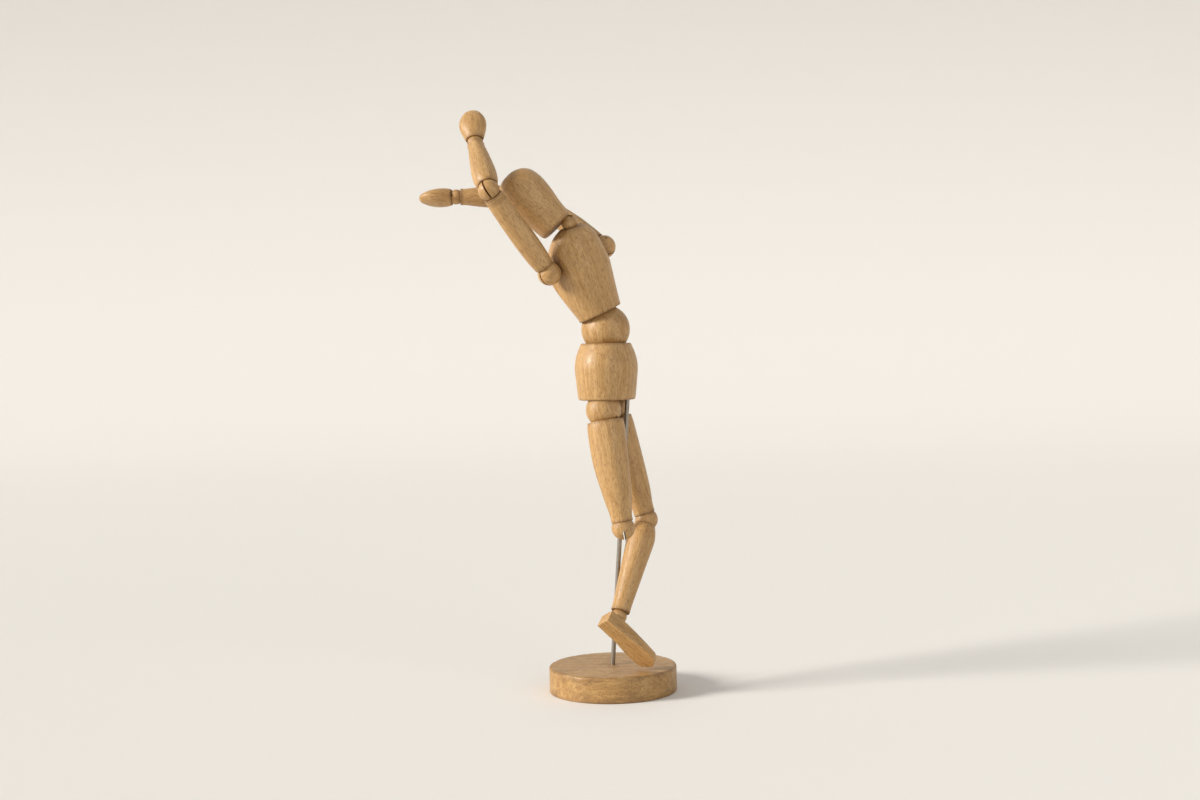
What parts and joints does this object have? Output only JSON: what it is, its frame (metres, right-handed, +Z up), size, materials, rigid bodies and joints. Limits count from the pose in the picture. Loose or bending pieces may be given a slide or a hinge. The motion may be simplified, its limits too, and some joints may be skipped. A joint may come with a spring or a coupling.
{
  "type": "artist mannequin",
  "caption": "Jointed wooden artist's figure held on a round wooden base by a steel rod, with spring-loaded ball joints that hold a pose.",
  "frame": {"origin": "middle of the base's underside, on the surface that the base stands on", "axes": "+Z up; +X to the right and +Y away from the viewer in the view that shows the figure from its left side"},
  "size_m": [0.1583, 0.0893, 0.3645],
  "materials": {
    "wood": "satin lacquer",
    "base_wood": "worn satin lacquer",
    "steel": "plain drawn steel"
  },
  "bodies": {
    "base": {"base": "base_wood", "support_rod": "steel"},
    "pelvis": {"pelvis": "wood", "pelvis_anchor_pin": "steel", "left_hip_spring": "steel", "right_hip_spring": "steel", "waist_lower_spring": "steel"},
    "waist_ball": {"waist_ball": "wood", "waist_pin": "steel"},
    "chest": {"chest": "wood", "chest_anchor_pin": "steel", "waist_upper_spring": "steel", "left_shoulder_spring": "steel", "right_shoulder_spring": "steel"},
    "neck_ball": {"neck_ball": "wood", "neck_spring": "steel"},
    "head": {"head": "wood"},
    "left_shoulder_ball": {"left_shoulder_ball": "wood", "left_shoulder_pin": "steel"},
    "left_upper_arm": {"left_upper_arm": "wood", "left_upper_arm_spring": "steel"},
    "left_elbow_ball": {"left_elbow_ball": "wood", "left_elbow_pin": "steel"},
    "left_forearm": {"left_forearm": "wood", "left_forearm_spring": "steel"},
    "left_wrist_ball": {"left_wrist_ball": "wood", "left_wrist_pin": "steel"},
    "left_hand": {"left_hand": "wood", "left_hand_hook": "steel"},
    "left_hip_ball": {"left_hip_ball": "wood", "left_hip_pin": "steel"},
    "left_thigh": {"left_thigh": "wood", "left_thigh_spring": "steel"},
    "left_knee_ball": {"left_knee_ball": "wood", "left_knee_pin": "steel"},
    "right_shoulder_ball": {"right_shoulder_ball": "wood", "right_shoulder_pin": "steel"},
    "right_upper_arm": {"right_upper_arm": "wood", "right_upper_arm_spring": "steel"},
    "right_elbow_ball": {"right_elbow_ball": "wood", "right_elbow_pin": "steel"},
    "right_forearm": {"right_forearm": "wood", "right_forearm_spring": "steel"},
    "right_wrist_ball": {"right_wrist_ball": "wood", "right_wrist_pin": "steel"},
    "right_hand": {"right_hand": "wood", "right_hand_hook": "steel"},
    "right_hip_ball": {"right_hip_ball": "wood", "right_hip_pin": "steel"},
    "right_thigh": {"right_thigh": "wood", "right_thigh_spring": "steel"},
    "right_knee_ball": {"right_knee_ball": "wood", "right_knee_pin": "steel"},
    "left_knee_hook": {"left_knee_hook": "steel"},
    "right_shin": {"right_shin": "wood", "right_shin_spring": "steel"},
    "right_ankle_ball": {"right_ankle_ball": "wood", "right_ankle_pin": "steel"},
    "right_foot": {"right_foot": "wood", "right_foot_hook": "steel"}
  },
  "joints": [
    {"name": "pelvis_swivel", "type": "hinge", "parent": "base", "child": "pelvis", "pos_m": [0.01253, 0, 0.1827], "axis": [0.075, 0, 0.9972], "range_deg": [-60, 60]},
    {"name": "waist_spin", "type": "hinge", "parent": "pelvis", "child": "waist_ball", "pos_m": [-0.00018, 0.0027, 0.2268], "axis": [0, 0, 1], "range_deg": [-60, 60], "deforming": ["waist_lower_spring"]},
    {"name": "waist_bend", "type": "hinge", "parent": "waist_ball", "child": "chest", "pos_m": [-0.00018, 0.0027, 0.2268], "axis": [-0.5821, 0.8131, 0], "range_deg": [-10, 50]},
    {"name": "neck_spin", "type": "hinge", "parent": "chest", "child": "neck_ball", "pos_m": [-0.02119, -0.01234, 0.29239], "axis": [-0.298, -0.2133, 0.9304], "range_deg": [-60, 20]},
    {"name": "neck_bend", "type": "hinge", "parent": "neck_ball", "child": "head", "pos_m": [-0.02119, -0.01234, 0.29239], "axis": [0.3626, 0.8764, 0.3171], "range_deg": [-10, 65], "deforming": ["neck_spring"]},
    {"name": "left_shoulder_spin", "type": "hinge", "parent": "chest", "child": "left_shoulder_ball", "pos_m": [-0.03391, -0.01835, 0.26125], "axis": [0.7063, 0.6064, 0.3653], "range_deg": [-22, 55], "deforming": ["left_shoulder_spring"]},
    {"name": "left_shoulder_bend", "type": "hinge", "parent": "left_shoulder_ball", "child": "left_upper_arm", "pos_m": [-0.03391, -0.01835, 0.26125], "axis": [-0.6234, 0.7773, -0.0852], "range_deg": [-140, 8]},
    {"name": "left_elbow_spin", "type": "hinge", "parent": "left_upper_arm", "child": "left_elbow_ball", "pos_m": [-0.0683, -0.04054, 0.31045], "axis": [0.5374, 0.3467, -0.7688], "range_deg": [-60, 60], "deforming": ["left_upper_arm_spring"]},
    {"name": "left_elbow_bend", "type": "hinge", "parent": "left_elbow_ball", "child": "left_forearm", "pos_m": [-0.0683, -0.04054, 0.31045], "axis": [-0.8433, 0.228, -0.4867], "range_deg": [-115, 1.2]},
    {"name": "left_wrist_spin", "type": "hinge", "parent": "left_forearm", "child": "left_wrist_ball", "pos_m": [-0.07826, -0.00804, 0.34292], "axis": [0.2118, -0.6913, -0.6908], "range_deg": [-60, 60], "deforming": ["left_forearm_spring"]},
    {"name": "left_wrist_bend", "type": "hinge", "parent": "left_wrist_ball", "child": "left_hand", "pos_m": [-0.07826, -0.00804, 0.34292], "axis": [-0.9481, -0.3168, 0.0264], "range_deg": [-35, 45]},
    {"name": "left_hip_spin", "type": "hinge", "parent": "pelvis", "child": "left_hip_ball", "pos_m": [-0.00253, -0.00835, 0.1767], "axis": [0, 0, 1], "range_deg": [-45, 20], "deforming": ["left_hip_spring"]},
    {"name": "left_hip_bend", "type": "hinge", "parent": "left_hip_ball", "child": "left_thigh", "pos_m": [-0.00253, -0.00835, 0.1767], "axis": [0.6374, 0.7705, 0], "range_deg": [-45, 12]},
    {"name": "left_knee_spin", "type": "hinge", "parent": "left_thigh", "child": "left_knee_ball", "pos_m": [0.00805, -0.01711, 0.10398], "axis": [-0.1431, 0.1183, 0.9826], "range_deg": [-60, 60], "deforming": ["left_thigh_spring"]},
    {"name": "right_shoulder_spin", "type": "hinge", "parent": "chest", "child": "right_shoulder_ball", "pos_m": [-0.00001, 0.01076, 0.27879], "axis": [-0.7063, -0.6064, -0.3653], "range_deg": [-22, 20], "deforming": ["right_shoulder_spring"]},
    {"name": "right_shoulder_bend", "type": "hinge", "parent": "right_shoulder_ball", "child": "right_upper_arm", "pos_m": [-0.00001, 0.01076, 0.27879], "axis": [0.1845, -0.6558, 0.732], "range_deg": [-170, 0.4]},
    {"name": "right_elbow_spin", "type": "hinge", "parent": "right_upper_arm", "child": "right_elbow_ball", "pos_m": [-0.04752, 0.03605, 0.31341], "axis": [0.7424, -0.3951, -0.541], "range_deg": [-60, 60], "deforming": ["right_upper_arm_spring"]},
    {"name": "right_elbow_bend", "type": "hinge", "parent": "right_elbow_ball", "child": "right_forearm", "pos_m": [-0.04752, 0.03605, 0.31341], "axis": [0.0815, -0.7484, 0.6583], "range_deg": [-100, 15]},
    {"name": "right_wrist_spin", "type": "hinge", "parent": "right_forearm", "child": "right_wrist_ball", "pos_m": [-0.0943, 0.03147, 0.314], "axis": [0.9952, 0.0974, -0.0125], "range_deg": [-60, 60], "deforming": ["right_forearm_spring"]},
    {"name": "right_wrist_bend", "type": "hinge", "parent": "right_wrist_ball", "child": "right_hand", "pos_m": [-0.0943, 0.03147, 0.314], "axis": [0.0101, -0.228, -0.9736], "range_deg": [-60, 38]},
    {"name": "right_hip_spin", "type": "hinge", "parent": "pelvis", "child": "right_hip_ball", "pos_m": [0.00217, 0.01376, 0.1767], "axis": [0, 0, 1], "range_deg": [-2, 45], "deforming": ["right_hip_spring"]},
    {"name": "right_hip_bend", "type": "hinge", "parent": "right_hip_ball", "child": "right_thigh", "pos_m": [0.00217, 0.01376, 0.1767], "axis": [0.1305, 0.9914, 0], "range_deg": [-8, 0.4]},
    {"name": "right_knee_spin", "type": "hinge", "parent": "right_thigh", "child": "right_knee_ball", "pos_m": [0.02329, 0.01098, 0.10583], "axis": [-0.2854, 0.0376, 0.9577], "range_deg": [-2, 50], "deforming": ["right_thigh_spring"]},
    {"name": "left_knee_bend", "type": "hinge", "parent": "left_knee_ball", "child": "left_knee_hook", "pos_m": [0.00805, -0.01711, 0.10398], "axis": [0.9897, 0.0155, 0.1422], "range_deg": [-55, 65]},
    {"name": "right_knee_bend", "type": "hinge", "parent": "right_knee_ball", "child": "right_shin", "pos_m": [0.02329, 0.01098, 0.10583], "axis": [0.5804, -0.7884, 0.2039], "range_deg": [-2, 3]},
    {"name": "right_ankle_spin", "type": "hinge", "parent": "right_shin", "child": "right_ankle_ball", "pos_m": [0.0043, -0.01758, 0.04944], "axis": [0.2876, 0.4327, 0.8544], "range_deg": [-50, 8], "deforming": ["right_shin_spring"]},
    {"name": "right_ankle_bend", "type": "hinge", "parent": "right_ankle_ball", "child": "right_foot", "pos_m": [0.0043, -0.01758, 0.04944], "axis": [0.9247, -0.3578, -0.1301], "range_deg": [-20, 75]}
  ]
}
